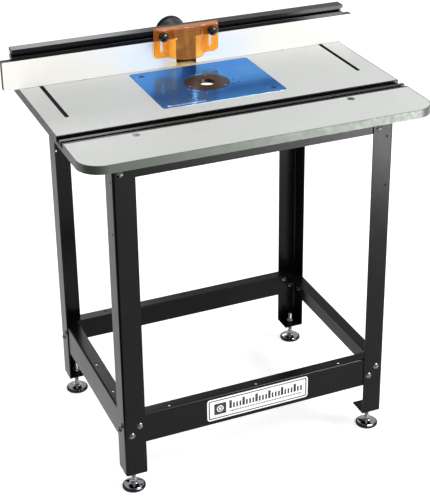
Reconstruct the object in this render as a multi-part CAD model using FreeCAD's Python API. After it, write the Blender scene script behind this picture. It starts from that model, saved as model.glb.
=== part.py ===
import FreeCAD, Part
import math
import os

# Router table: a laminated top on a bolted steel stand, with a sliding fence.
# Millimetres. Origin on the floor under the centre of the top.
# +X runs along the fence to the right, +Y to the back, +Z up.

Vector = FreeCAD.Vector
X_AXIS = Vector(1, 0, 0)
Y_AXIS = Vector(0, 1, 0)
Z_AXIS = Vector(0, 0, 1)
SIDES = {"left": -1, "right": 1}
ENDS = {"front": -1, "back": 1}

# Table top
table_width = 812.8
table_depth = 609.6
table_height = 857.0
top_thickness = 19.0
top_corner_radius = 52.0
laminate_thickness = 0.8
edge_strip = 2.0
top_underside = table_height - top_thickness

# Slots in the top that the fence clamps run in
fence_slot_x = 354.0
fence_slot_width = 10.0
fence_slot_front = -25.0
fence_slot_back = 245.0

# Combination track: a mitre slot at the back and a T-slot at the front
track_width = 50.0
track_depth = 13.0
track_front_y = -168.5
track_floor = 3.5
mitre_slot_width = 19.2
mitre_slot_front = 26.3
t_cavity_front = 3.7
t_cavity_width = 15.0
t_opening_width = 8.4
t_lip = 2.6

# Router plate and its seat
plate_center_y = 46.0
plate_width = 298.5
plate_depth = 235.0
plate_thickness = 9.5
plate_corner_radius = 9.0
plate_gap = 0.4
leveler_height = 0.8
ledge_width = 16.0
gusset = 36.0
plate_screw_x = 125.5
plate_screw_y = 93.5
plate_under = table_height - plate_thickness
ledge_z = plate_under - leveler_height

# Insert ring in the plate
bit_opening_radius = 19.05
ring_radius = 52.4
ring_spigot_radius = 42.0
ring_flange = 6.3
ring_gap = 0.15
ring_screw_circle = 47.2
base_hole_radius = 3.25
small_base_circle = 62.0
large_base_circle = 72.0
pin_hole_radius = 2.6

# Stand
stand_half_width = 328.0
stand_half_depth = 244.0
sheet = 2.5
leg_flange = 50.0
leg_bottom = 50.0
foot_plate = 3.0
bend_radius = 6.0
rail_bend_radius = 4.5
joint_gap = 0.2
spare_hole_radius = 2.6
spare_hole_inset = 15.5
spare_hole_heights = (781.0, 661.0)
rail_height = 48.0
rail_flange = 30.0
stretcher_bottom = 131.0
stretcher_height = 73.0
shelf_hole_radius = 3.0
shelf_hole_x = 215.0
shelf_hole_y = 123.0
cleat_y = 182.0
cleat_width = 40.0
top_screw_x = 252.0
bolt_radius = 3.0
bolt_head_radius = 7.8
bolt_head_height = 4.4
bolt_pair_inset = 27.0
bolt_pair_run = 9.5
bolt_pair_rise = 11.0

# Levelling feet
foot_inset = 24.0
foot_radius = 27.5
foot_height = 15.0
stem_radius = 5.0
stem_top = 78.0
stem_collar = 16.0
running_gap = 0.05

# Fence, placed by the front plane of its two face boards
fence_y = 174.0
face_thickness = 19.0
face_height = 67.4
face_clearance = 0.6
face_gap = 50.0
face_outer = 440.0
rail_outer = 415.0
slide_gap = 0.3
web_thickness = 4.0
fence_foot_depth = 58.8
fence_foot_thickness = 5.0
head_depth = 28.5
head_height = 26.0
rail_lip = 3.5
rail_opening = 8.5
rail_cavity_height = 15.0
rail_cavity_depth = 6.5
web_back = fence_y + face_thickness + slide_gap + web_thickness
head_bottom = table_height + face_clearance + face_height + slide_gap
head_top = head_bottom + head_height
rail_slot_z = head_bottom + 13.2
clamp_y = 225.0
clamp_bolt_radius = 4.0
face_stud_x = (105.0, 280.0)
face_stud_z = 892.0
face_travel_out = 30.0
face_travel_in = 22.0
stud_radius = 3.0

# Dust port
port_z = 909.0
port_radius = 35.0
port_wall = 3.5
port_end_y = 285.0
port_flange_half_width = 53.0
port_flange_bottom = 864.0
port_flange_top = 924.0
port_screw_x = 48.0

# Bit guard
guard_half_width = 81.0
guard_bolt_x = 61.0
guard_thickness = 3.0
guard_bottom = 883.0
guard_top = 957.0
guard_slot_width = 8.0
guard_travel = 38.0
visor_half_width = 46.0
hood_half_width = 75.0
hood_front_y = 150.0
visor_front_y = 136.0
guard_back_y = fence_y - 0.7


def box(x0, x1, y0, y1, z0, z1):
    return Part.makeBox(x1 - x0, y1 - y0, z1 - z0, Vector(x0, y0, z0))


def cylinder(radius, length, x, y, z, axis=Z_AXIS):
    return Part.makeCylinder(radius, length, Vector(x, y, z), axis)


def cone(radius_1, radius_2, length, x, y, z, axis=Z_AXIS):
    return Part.makeCone(radius_1, radius_2, length, Vector(x, y, z), axis)


def hexagon(across_flats, length, x, y, z, axis=Z_AXIS):
    prism = Part.makeBox(across_flats, across_flats * 2, length)
    prism.translate(Vector(-across_flats / 2, -across_flats, 0))
    shape = prism.copy()
    for turn in (60, 120):
        other = prism.copy()
        other.rotate(Vector(0, 0, 0), Z_AXIS, turn)
        shape = shape.common(other)
    shape.Placement = FreeCAD.Placement(Vector(x, y, z), FreeCAD.Rotation(Z_AXIS, axis))
    return shape


def dome(radius, height, base, axis=Z_AXIS):
    """A domed disc: flat underneath, with a round crown height tall at its middle."""
    sphere_radius = (radius ** 2 + height ** 2) / (2 * height)
    half_turn = math.asin(radius / sphere_radius) / 2
    drop = sphere_radius * (1 - math.cos(half_turn))
    middle = Vector(sphere_radius * math.sin(half_turn), 0, height - drop)
    centre, rim, top = Vector(0, 0, 0), Vector(radius, 0, 0), Vector(0, 0, height)
    outline = Part.Wire([
        Part.LineSegment(centre, rim).toShape(),
        Part.Arc(rim, middle, top).toShape(),
        Part.LineSegment(top, centre).toShape(),
    ])
    shape = Part.Face(outline).revolve(centre, Z_AXIS, 360)
    shape.Placement = FreeCAD.Placement(base, FreeCAD.Rotation(Z_AXIS, axis))
    return shape


def rounded_box(x0, x1, y0, y1, z0, z1, radius):
    shape = box(x0, x1, y0, y1, z0, z1)
    upright = [e for e in shape.Edges if abs(e.Length - (z1 - z0)) < 1e-6 and is_along(e, Z_AXIS)]
    return shape.makeFillet(radius, upright)


def is_along(edge, axis):
    run = edge.Vertexes[-1].Point - edge.Vertexes[0].Point
    return run.cross(axis).Length < 1e-6 and run.Length > 1e-6


def round_edges(shape, radius, chosen):
    return shape.makeFillet(radius, [e for e in shape.Edges if chosen(e)])


def union(shapes):
    first, rest = shapes[0], list(shapes[1:])
    return first.fuse(rest).removeSplitter() if rest else first


def cut(shape, tools):
    return shape.cut(list(tools))


def group(shapes):
    return Part.makeCompound(list(shapes))


def slot_x(x0, x1, y0, y1, z, width):
    """A tool for a slot along X with round ends, cut through a wall from y0 to y1."""
    radius = width / 2
    return union([
        box(x0, x1, y0, y1, z - radius, z + radius),
        cylinder(radius, y1 - y0, x0, y0, z, Y_AXIS),
        cylinder(radius, y1 - y0, x1, y0, z, Y_AXIS),
    ])


def slot_z(x, y0, y1, z0, z1, width):
    """A tool for an upright slot with round ends, cut through a wall from y0 to y1."""
    radius = width / 2
    return union([
        box(x - radius, x + radius, y0, y1, z0, z1),
        cylinder(radius, y1 - y0, x, y0, z0, Y_AXIS),
        cylinder(radius, y1 - y0, x, y0, z1, Y_AXIS),
    ])


def countersunk_screw(head_radius, head_height, radius, length, x, y, z):
    """A flat-head screw whose head is flush with z and whose shank points down."""
    down = Vector(0, 0, -1)
    head = cone(head_radius, radius, head_height, x, y, z, down)
    shank = cylinder(radius, length, x, y, z, down)
    socket = hexagon(radius * 1.2, head_height * 0.7, x, y, z - head_height * 0.7)
    return head.fuse(shank).removeSplitter().cut(socket)


def countersunk_hole(head_radius, head_height, radius, length, x, y, z):
    down = Vector(0, 0, -1)
    clear = running_gap
    head = cone(head_radius + clear, radius + clear, head_height, x, y, z, down)
    return head.fuse(cylinder(radius + clear, length, x, y, z, down))


# ---------------------------------------------------------------- table top

top_screw = dict(head_radius=9.0, head_height=6.0, radius=3.0)
plate_screw = dict(head_radius=6.5, head_height=3.6, radius=2.5)
ring_screw = dict(head_radius=3.0, head_height=1.6, radius=1.5)


def top_screw_points():
    return [(sx * top_screw_x, sy * cleat_y) for sx in (-1, 1) for sy in (-1, 1)]


def plate_screw_points():
    """One screw at the back left of the plate and one at its front right."""
    return [(s * plate_screw_x, plate_center_y - s * plate_screw_y) for s in (-1, 1)]


def plate_point(radius, degrees):
    """A place on the plate at an angle from +X, on a circle round the bit opening."""
    turn = math.radians(degrees)
    return radius * math.cos(turn), plate_center_y + radius * math.sin(turn)


def leveler_points():
    along_x = [(sx * 55.0, plate_center_y + sy * (plate_depth / 2 - ledge_width / 2))
               for sx in (-1, 1) for sy in (-1, 1)]
    along_y = [(sx * (plate_width / 2 - ledge_width / 2), plate_center_y + sy * 40.0)
               for sx in (-1, 1) for sy in (-1, 1)]
    return along_x + along_y


def top_slab(z0, z1, inset=0.0):
    half_width = table_width / 2 - inset
    half_depth = table_depth / 2 - inset
    return rounded_box(-half_width, half_width, -half_depth, half_depth, z0, z1, top_corner_radius - inset)


def fence_slots(z0, z1):
    radius = fence_slot_width / 2
    tools = []
    for side in (-1, 1):
        x = side * fence_slot_x
        tools.append(box(x - radius, x + radius, fence_slot_front, fence_slot_back, z0, z1))
        tools.append(cylinder(radius, z1 - z0, x, fence_slot_front, z0))
        tools.append(cylinder(radius, z1 - z0, x, fence_slot_back, z0))
    return tools


def track_groove():
    half = table_width / 2 + 1
    back = track_front_y + track_width
    return box(-half, half, track_front_y, back, table_height - track_depth, table_height + 1)


def plate_seat():
    half_width = plate_width / 2 + plate_gap
    half_depth = plate_depth / 2 + plate_gap
    return rounded_box(-half_width, half_width, plate_center_y - half_depth, plate_center_y + half_depth,
                       ledge_z, table_height + 1, plate_corner_radius + plate_gap)


def router_cutout():
    """The through opening under the plate: a rectangle with a gusset left in each corner."""
    half_width = plate_width / 2 - ledge_width
    half_depth = plate_depth / 2 - ledge_width
    z0, z1 = top_underside - 1, ledge_z + 1
    keep = gusset - ledge_width
    wide = box(-half_width, half_width, plate_center_y - half_depth + keep,
               plate_center_y + half_depth - keep, z0, z1)
    deep = box(-half_width + keep, half_width - keep, plate_center_y - half_depth,
               plate_center_y + half_depth, z0, z1)
    return wide.fuse(deep).removeSplitter()


def top_screw_holes():
    return [countersunk_hole(length=top_thickness + 1, x=x, y=y, z=table_height, **top_screw)
            for x, y in top_screw_points()]


def table_core():
    slab = top_slab(top_underside + laminate_thickness, table_height - laminate_thickness, edge_strip)
    pilot = [cylinder(plate_screw["radius"] + running_gap, 20, x, y, top_underside - 1)
             for x, y in plate_screw_points()]
    leveler_bore = [cylinder(3 + running_gap, 8, x, y, ledge_z - 6) for x, y in leveler_points()]
    tools = [track_groove(), plate_seat(), router_cutout()]
    tools += fence_slots(top_underside - 1, table_height + 1)
    tools += top_screw_holes() + pilot + leveler_bore
    return cut(slab, tools)


def top_laminate():
    skin = top_slab(table_height - laminate_thickness, table_height, edge_strip)
    tools = [track_groove(), plate_seat()] + fence_slots(top_underside, table_height + 1)
    return cut(skin, tools + top_screw_holes())


def underside_laminate():
    skin = top_slab(top_underside, top_underside + laminate_thickness, edge_strip)
    tools = [router_cutout()] + fence_slots(top_underside - 1, table_height)
    return cut(skin, tools + top_screw_holes() + [
        cylinder(plate_screw["radius"] + running_gap, 4, x, y, top_underside - 1)
        for x, y in plate_screw_points()])


def edge_band():
    outer = top_slab(top_underside, table_height)
    inner = top_slab(top_underside - 1, table_height + 1, edge_strip)
    return cut(outer, [inner, track_groove()])


def combo_track():
    """The aluminium extrusion, drawn as its section and run the full width of the top."""
    half = table_width / 2
    y = track_front_y
    z = table_height - track_depth
    bar = box(-half, half, y, y + track_width, z, table_height)
    mitre = box(-half, half, y + mitre_slot_front, y + mitre_slot_front + mitre_slot_width,
                z + track_floor, table_height)
    cavity_mid = t_cavity_front + t_cavity_width / 2
    cavity = box(-half, half, y + t_cavity_front, y + t_cavity_front + t_cavity_width,
                 z + track_floor, table_height - t_lip)
    opening = box(-half, half, y + cavity_mid - t_opening_width / 2, y + cavity_mid + t_opening_width / 2,
                  table_height - t_lip, table_height)
    holes = [cylinder(2.05, track_floor, x, y_screw, z) for x, y_screw in track_screw_points()]
    return cut(bar, [mitre, cavity, opening] + holes)


def track_screw_points():
    y = track_front_y + mitre_slot_front + mitre_slot_width / 2
    return [(x, y) for x in (-370.0, -185.0, 0.0, 185.0, 370.0)]


def track_screws():
    top = table_height - track_depth + track_floor
    screws = []
    for x, y in track_screw_points():
        head = cone(4.0, 3.4, 1.4, x, y, top)
        screws.append(head.fuse(cylinder(2.0, track_floor, x, y, top - track_floor)).removeSplitter())
    return group(screws)


def base_hole_points():
    """Holes for router bases: three on the small circle and four on the large one."""
    small = [plate_point(small_base_circle, 88 + 120 * i) for i in range(3)]
    large = [plate_point(large_base_circle, 70 + 90 * i) for i in range(4)]
    return small + large


def pin_hole_points():
    """Smaller holes beside the ring for a starting pin."""
    return [plate_point(radius, degrees)
            for radius, degrees in ((small_base_circle, -5), (large_base_circle, 50), (large_base_circle, -79))]


def ring_screw_points():
    return [plate_point(ring_screw_circle, 73 + 120 * i) for i in range(3)]


def router_plate():
    plate = rounded_box(-plate_width / 2, plate_width / 2, plate_center_y - plate_depth / 2,
                        plate_center_y + plate_depth / 2, plate_under, table_height, plate_corner_radius)
    through = cylinder(ring_spigot_radius + ring_gap, plate_thickness + 2, 0, plate_center_y, plate_under - 1)
    seat = cylinder(ring_radius + ring_gap, ring_flange + 1, 0, plate_center_y, table_height - ring_flange)
    base_holes = [cylinder(base_hole_radius, plate_thickness, x, y, plate_under)
                  for x, y in base_hole_points()]
    pin_holes = [cylinder(pin_hole_radius, plate_thickness, x, y, plate_under) for x, y in pin_hole_points()]
    screws = [countersunk_hole(length=plate_thickness, x=x, y=y, z=table_height, **plate_screw)
              for x, y in plate_screw_points()]
    taps = [cylinder(1.5 + running_gap, plate_thickness, x, y, plate_under) for x, y in ring_screw_points()]
    return cut(plate, [through, seat] + base_holes + pin_holes + screws + taps)


def insert_ring():
    flange = cylinder(ring_radius, ring_flange, 0, plate_center_y, table_height - ring_flange)
    spigot = cylinder(ring_spigot_radius, plate_thickness, 0, plate_center_y, plate_under)
    opening = cylinder(bit_opening_radius, plate_thickness, 0, plate_center_y, plate_under)
    screws = [countersunk_hole(length=ring_flange, x=x, y=y, z=table_height, **ring_screw)
              for x, y in ring_screw_points()]
    wrench = [cylinder(2.0, 4, sx * 33.0, plate_center_y, table_height - 4) for sx in (-1, 1)]
    return cut(flange.fuse(spigot).removeSplitter(), [opening] + screws + wrench)


def insert_ring_screws():
    return group(countersunk_screw(length=plate_thickness - 1, x=x, y=y, z=table_height, **ring_screw)
                 for x, y in ring_screw_points())


def plate_screws():
    return group(countersunk_screw(length=top_thickness - 2, x=x, y=y, z=table_height, **plate_screw)
                 for x, y in plate_screw_points())


def plate_levelers():
    length = leveler_height + 6
    return group(cylinder(3.0, length, x, y, plate_under - length) for x, y in leveler_points())


# -------------------------------------------------------------------- stand

def span(a, b):
    return min(a, b), max(a, b)


def leg(side, end):
    """A folded angle with its corner outwards and a welded plate for the foot."""
    x = side * stand_half_width
    y = end * stand_half_depth
    x_in, y_in = x - side * leg_flange, y - end * leg_flange
    x_sheet, y_sheet = x - side * sheet, y - end * sheet

    def fold(shape, radius, fold_x, fold_y):
        return round_edges(shape, radius, lambda e: is_along(e, Z_AXIS) and math.hypot(
            e.CenterOfMass.x - fold_x, e.CenterOfMass.y - fold_y) < 0.1)

    face = box(*span(x, x_in), *span(y, y_sheet), leg_bottom, top_underside)
    flank = box(*span(x, x_sheet), *span(y, y_in), leg_bottom, top_underside)
    angle = fold(union([face, flank]), bend_radius - sheet, x_sheet, y_sheet)
    angle = fold(angle, bend_radius, x, y)
    base = fold(box(*span(x, x_in), *span(y, y_in), leg_bottom, leg_bottom + foot_plate), bend_radius, x, y)
    foot_hole = cylinder(stem_radius + running_gap, foot_plate, x - side * foot_inset,
                         y - end * foot_inset, leg_bottom)
    return cut(union([angle, base]), [foot_hole] + spare_holes(side, end) + frame_bolt_holes())


def spare_holes(side, end):
    """Two unused holes near the fold, in the flange that is on the right when the leg is seen from its corner.

    All four legs are one part, each turned a quarter turn from the next.
    """
    x, y = side * stand_half_width, end * stand_half_depth
    if side * end < 0:
        return [cylinder(spare_hole_radius, 2 * sheet, x - side * spare_hole_inset, y - sheet, z, Y_AXIS)
                for z in spare_hole_heights]
    return [cylinder(spare_hole_radius, 2 * sheet, x - sheet, y - end * spare_hole_inset, z, X_AXIS)
            for z in spare_hole_heights]


def rail(face, bottom, height, flange_holes):
    """A folded angle behind the leg flanges: an upright web with an inward flange along its top.

    The flanges of the side rails stop short of the corners, where those of the front and back rails pass.
    """
    across = face in ENDS
    sign = ENDS[face] if across else SIDES[face]
    half_run = (stand_half_width - joint_gap if across else stand_half_depth) - bend_radius - joint_gap
    outer = (stand_half_depth if across else stand_half_width) - sheet
    flange_half = half_run if across else stand_half_depth - sheet - rail_flange - joint_gap
    top = bottom + height

    def place(run_half, near, far, z0, z1):
        low, high = min(sign * near, sign * far), max(sign * near, sign * far)
        if across:
            return box(-run_half, run_half, low, high, z0, z1)
        return box(low, high, -run_half, run_half, z0, z1)

    folded_web = place(flange_half, outer, outer - sheet, bottom, top)
    flange = place(flange_half, outer, outer - rail_flange, top - sheet, top)
    angle = fold_angle(union([folded_web, flange]), X_AXIS if across else Y_AXIS, sign * outer, top)
    web = place(half_run, outer, outer - sheet, bottom, top - rail_bend_radius)
    holes = []
    for run in flange_holes:
        offset = sign * (outer - rail_flange / 2 + sheet)
        x, y = (run, offset) if across else (offset, run)
        holes.append(cylinder(shelf_hole_radius, 2 * sheet, x, y, top - 1.5 * sheet))
    return cut(union([angle, web]), holes + frame_bolt_holes())


def fold_angle(shape, along, outer, top):
    """Rounds both sides of the fold where a rail's web meets its flange."""
    def corner(edge, away, height):
        centre = edge.CenterOfMass
        across = centre.y if along is X_AXIS else centre.x
        return is_along(edge, along) and abs(across - away) < 0.1 and abs(centre.z - height) < 0.1

    inner = outer - math.copysign(sheet, outer)
    shape = round_edges(shape, rail_bend_radius - sheet, lambda e: corner(e, inner, top - sheet))
    return round_edges(shape, rail_bend_radius, lambda e: corner(e, outer, top))


def top_rail(face):
    return rail(face, top_underside - rail_height, rail_height, [])


def stretcher(face):
    reach = shelf_hole_x if face in ENDS else shelf_hole_y
    return rail(face, stretcher_bottom, stretcher_height, [-reach, 0.0, reach])


def top_cleat(end):
    """A flat bar welded across the side rails, joggled so that it bears on the top."""
    y0 = end * cleat_y - cleat_width / 2
    y1 = y0 + cleat_width
    inner = stand_half_width - sheet - rail_bend_radius - joint_gap
    middle = stand_half_width - sheet - rail_flange - joint_gap
    bar = box(-middle, middle, y0, y1, top_underside - sheet, top_underside)
    tips = [box(*sorted((s * (middle - 10), s * inner)), y0, y1, top_underside - 2 * sheet, top_underside - sheet)
            for s in (-1, 1)]
    holes = [cylinder(top_screw["radius"] + running_gap, 10, s * top_screw_x, end * cleat_y, top_underside - 6)
             for s in (-1, 1)]
    return cut(union([bar] + tips), holes)


def top_screws():
    length = top_thickness + sheet + 8
    return group(countersunk_screw(length=length, x=x, y=y, z=table_height, **top_screw)
                 for x, y in top_screw_points())


def top_screw_nuts():
    nut_height = 5.0
    z = top_underside - sheet - nut_height
    bore = top_screw["radius"] + running_gap
    return group(hexagon(10, nut_height, x, y, z).cut(cylinder(bore, nut_height, x, y, z))
                 for x, y in top_screw_points())


def frame_bolt_places():
    """Each face of the stand has a slanting pair of bolts at each end of each rail.

    A place is the point on the face and the direction that points out of it.
    """
    levels = (top_underside - rail_height / 2, stretcher_bottom + stretcher_height / 2)
    faces = [(Vector(0, -1, 0), X_AXIS, stand_half_depth, stand_half_width),
             (Vector(1, 0, 0), Y_AXIS, stand_half_width, stand_half_depth),
             (Vector(0, 1, 0), Vector(-1, 0, 0), stand_half_depth, stand_half_width),
             (Vector(-1, 0, 0), Vector(0, -1, 0), stand_half_width, stand_half_depth)]
    places = []
    for outward, rightward, distance, half_run in faces:
        for level in levels:
            for end in (-1, 1):
                for step in (-1, 1):
                    run = end * (half_run - bolt_pair_inset) + step * bolt_pair_run
                    point = outward * distance + rightward * run
                    point.z = level + step * bolt_pair_rise
                    places.append((point, outward))
    return places


def frame_bolt_holes():
    return [Part.makeCylinder(bolt_radius + running_gap, 4 * sheet, point - outward * 3 * sheet, outward)
            for point, outward in frame_bolt_places()]


def frame_bolts():
    bolts = []
    for point, outward in frame_bolt_places():
        head = dome(bolt_head_radius, bolt_head_height, point, outward)
        shank_length = 2 * sheet + 7
        shank = Part.makeCylinder(bolt_radius, shank_length, point - outward * shank_length, outward)
        bolts.append(head.fuse(shank).removeSplitter())
    return group(bolts)


def frame_nuts():
    nut_height = 5.0
    nuts = []
    for point, outward in frame_bolt_places():
        start = point - outward * (2 * sheet + nut_height)
        nut = hexagon(10, nut_height, start.x, start.y, start.z, outward)
        nuts.append(nut.cut(Part.makeCylinder(bolt_radius + running_gap, nut_height, start, outward)))
    return group(nuts)


def badge_plate():
    face_y = -(stand_half_depth - sheet)
    badge_z = stretcher_bottom + stretcher_height / 2 + 2.5
    shape = box(-128, 128, face_y - 1.2, face_y, badge_z - 28.5, badge_z + 28.5)
    return round_edges(shape, 7.0, lambda e: is_along(e, Y_AXIS))


# --------------------------------------------------------------------- feet

def foot_point(side, end):
    return side * (stand_half_width - foot_inset), end * (stand_half_depth - foot_inset)


def foot_pad(side, end):
    """A domed steel cup on a nylon sole, with a socket for the stem's ball end."""
    x, y = foot_point(side, end)
    sole = cylinder(foot_radius - 1.5, 2.0, x, y, 0)
    rim = cylinder(foot_radius, 2.0, x, y, 2.0)
    crown = dome(foot_radius, foot_height - 4.0, Vector(x, y, 4.0))
    socket = cylinder(stem_radius + running_gap, foot_height, x, y, 6.0)
    return cut(union([sole, rim, crown]), [socket])


def foot_stem(side, end):
    x, y = foot_point(side, end)
    rod = cylinder(stem_radius, stem_top - 6.3, x, y, 6.3)
    collar = hexagon(13, 7, x, y, stem_collar)
    tip = cone(stem_radius, stem_radius - 1, 1.2, x, y, stem_top)
    return union([rod, collar, tip])


def foot_lock_nuts():
    nut_height = 8.0
    nuts = []
    for side in (-1, 1):
        for end in (-1, 1):
            x, y = foot_point(side, end)
            z = leg_bottom + foot_plate
            bore = cylinder(stem_radius + running_gap, nut_height, x, y, z)
            nuts.append(hexagon(17, nut_height, x, y, z).cut(bore))
    return group(nuts)


# -------------------------------------------------------------------- fence

def fence_rail():
    """The fence extrusion: a T-slot head over the faces, a web behind them and a foot."""
    foot_z = table_height + slide_gap
    web_y = web_back - web_thickness
    web = box(-rail_outer, rail_outer, web_y, web_back, foot_z, head_bottom)
    foot = box(-rail_outer, rail_outer, web_y, web_y + fence_foot_depth, foot_z, foot_z + fence_foot_thickness)
    head_y = fence_y + 1.0
    head = box(-rail_outer, rail_outer, head_y, head_y + head_depth, head_bottom, head_top)
    body = union([web, foot, head])
    half_opening, half_cavity = rail_opening / 2, rail_cavity_height / 2
    opening = box(-rail_outer, rail_outer, head_y, head_y + rail_lip,
                  rail_slot_z - half_opening, rail_slot_z + half_opening)
    cavity = box(-rail_outer, rail_outer, head_y + rail_lip, head_y + rail_lip + rail_cavity_depth,
                 rail_slot_z - half_cavity, rail_slot_z + half_cavity)
    back_groove = box(-rail_outer, rail_outer, head_y + head_depth - 6, head_y + head_depth,
                      rail_slot_z - 4, rail_slot_z + 4)
    window = box(-32, 32, web_y - 1, web_back + 1, foot_z + fence_foot_thickness + 3, head_bottom - 4)
    clamp_holes = [cylinder(clamp_bolt_radius + running_gap, 10, s * fence_slot_x, clamp_y, foot_z - 1)
                   for s in (-1, 1)]
    tools = [opening, cavity, back_groove, window] + clamp_holes + face_slots() + port_screw_bores()
    return cut(body, tools)


def face_slots():
    """Slots in the web that let each face board slide, with room for the stud."""
    web_y = web_back - web_thickness
    tools = []
    for side in (-1, 1):
        for stud in face_stud_x:
            outer, inner = side * (stud + face_travel_out), side * (stud - face_travel_in)
            tools.append(slot_x(min(outer, inner), max(outer, inner), web_y - 1, web_back + 1,
                                face_stud_z, 2 * stud_radius + 0.6))
    return tools


def fence_face(side):
    x0, x1 = sorted((side * face_gap / 2, side * face_outer))
    z0 = table_height + face_clearance
    front = fence_y + laminate_thickness
    board = box(x0, x1, front, fence_y + face_thickness, z0, z0 + face_height)
    bores = [cylinder(stud_radius + running_gap, 13, side * stud, fence_y + face_thickness - 12,
                      face_stud_z, Y_AXIS) for stud in face_stud_x]
    return cut(board, bores)


def face_laminate(side):
    x0, x1 = sorted((side * face_gap / 2, side * face_outer))
    z0 = table_height + face_clearance
    return box(x0, x1, fence_y, fence_y + laminate_thickness, z0, z0 + face_height)


def lobed_knob(radius, height, x, y, z, axis=Z_AXIS, lobes=6, bore=None, bore_depth=0.0):
    """A star knob: a hub, a lobed grip with eased edges and a slightly crowned top."""
    hub_height = height * 0.28
    hub = Part.makeCylinder(radius * 0.52, hub_height + 1, Vector(0, 0, 0), Z_AXIS)
    grip = Part.makeCylinder(radius * 0.86, height - hub_height, Vector(0, 0, hub_height), Z_AXIS)
    lobe_radius = radius * 0.30
    ring = radius - lobe_radius
    lobe_parts = []
    for i in range(lobes):
        turn = 2 * math.pi * i / lobes
        lobe_parts.append(Part.makeCylinder(lobe_radius, height - hub_height, Vector(
            ring * math.cos(turn), ring * math.sin(turn), hub_height), Z_AXIS))
    crown_radius = radius * 3.0
    crown = Part.makeSphere(crown_radius, Vector(0, 0, height - crown_radius))
    shape = union([hub, grip] + lobe_parts).common(crown)
    if bore:
        shape = shape.cut(Part.makeCylinder(bore, bore_depth, Vector(0, 0, 0), Z_AXIS))
    shape.Placement = FreeCAD.Placement(Vector(x, y, z), FreeCAD.Rotation(Z_AXIS, axis))
    return shape


clamp_washer_radius = 14.0
clamp_washer = 2.0
clamp_knob_z = table_height + slide_gap + fence_foot_thickness + 2.2


def fence_clamp_bolts():
    bolts = []
    washer_top = top_underside - slide_gap
    head_top_z = washer_top - clamp_washer
    for side in (-1, 1):
        x = side * fence_slot_x
        head = cylinder(9.5, 4.6, x, clamp_y, head_top_z - 4.6)
        neck = box(x - 4.7, x + 4.7, clamp_y - 4.7, clamp_y + 4.7, washer_top, washer_top + 6)
        shank = cylinder(clamp_bolt_radius, clamp_knob_z + 17 - head_top_z, x, clamp_y, head_top_z)
        bolts.append(union([head, neck, shank]))
    return group(bolts)


def fence_clamp_washers():
    """A wide washer under the top and a small one on the fence foot at each clamp."""
    bore = clamp_bolt_radius + running_gap
    under = top_underside - slide_gap - clamp_washer
    over = clamp_knob_z - 2.2
    washers = []
    for side in (-1, 1):
        x = side * fence_slot_x
        washers.append(cylinder(clamp_washer_radius, clamp_washer, x, clamp_y, under).cut(
            cylinder(bore, clamp_washer, x, clamp_y, under)))
        washers.append(cylinder(9.0, 1.8, x, clamp_y, over).cut(cylinder(bore, 1.8, x, clamp_y, over)))
    return group(washers)


def clamp_knob(side):
    return lobed_knob(18.5, 26.0, side * fence_slot_x, clamp_y, clamp_knob_z,
                      bore=clamp_bolt_radius + running_gap, bore_depth=18.0)


def face_knob(side, stud):
    """A star knob whose moulded-in stud screws into the back of the face board."""
    start = web_back + slide_gap
    knob = lobed_knob(15.5, 22.0, side * stud, start, face_stud_z, Y_AXIS, lobes=5,
                      bore=stud_radius, bore_depth=12.0)
    tip = fence_y + face_thickness - 11.5
    rod = cylinder(stud_radius, start + 12.0 - tip, side * stud, tip, face_stud_z, Y_AXIS)
    return group([knob, rod])


# ---------------------------------------------------------------- dust port

def port_outline(y, grow):
    """The duct's rectangular section at y, grown outward by grow, as a closed wire."""
    half = 36.0 + grow
    z0, z1 = 870.0 - grow, 918.0 + grow
    points = [Vector(-half, y, z0), Vector(half, y, z0), Vector(half, y, z1), Vector(-half, y, z1)]
    return Part.makePolygon(points + points[:1])


def port_circle(y, radius):
    return Part.Wire(Part.makeCircle(radius, Vector(0, y, port_z), Y_AXIS))


def port_screw_points():
    return [(sx * port_screw_x, z) for sx in (-1, 1) for z in (870.0, 918.0)]


def port_screw_bores():
    return [cylinder(1.5 + running_gap, web_thickness + 2, x, web_back - web_thickness - 1, z, Y_AXIS)
            for x, z in port_screw_points()]


def dust_port():
    """A flange on the web, a duct that turns from square to round, and a spigot with a bead."""
    flange_y = web_back + 4.0
    neck_y = flange_y + 26.0
    flange = box(-port_flange_half_width, port_flange_half_width, web_back, flange_y,
                 port_flange_bottom, port_flange_top)
    duct = Part.makeLoft([port_outline(flange_y - 1, port_wall), port_circle(neck_y, port_radius)], True, True)
    tube = cylinder(port_radius, port_end_y - neck_y, 0, neck_y, port_z, Y_AXIS)
    bead = cylinder(port_radius + 2.5, 6, 0, port_end_y - 9, port_z, Y_AXIS)
    body = union([flange, duct, tube, bead])
    bore_radius = port_radius - port_wall
    hollow_mouth = Part.makeLoft([port_outline(web_back - 1, 0), port_outline(flange_y - 1, 0)], True, True)
    hollow_duct = Part.makeLoft([port_outline(flange_y - 1, 0), port_circle(neck_y, bore_radius)], True, True)
    hollow_tube = cylinder(bore_radius, port_end_y - neck_y + 1, 0, neck_y, port_z, Y_AXIS)
    holes = [cylinder(1.5 + running_gap, 6, x, web_back - 1, z, Y_AXIS) for x, z in port_screw_points()]
    return cut(body, [hollow_mouth, hollow_duct, hollow_tube] + holes)


def dust_port_screws():
    screws = []
    seat = web_back + 4.0
    for x, z in port_screw_points():
        head = round_edges(cylinder(3.2, 2.2, x, seat, z, Y_AXIS), 1.0,
                           lambda e: abs(e.CenterOfMass.y - seat - 2.2) < 0.01)
        screws.append(head.fuse(cylinder(1.5, 8, x, seat - 8, z, Y_AXIS)).removeSplitter())
    return group(screws)


# ---------------------------------------------------------------- bit guard

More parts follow.
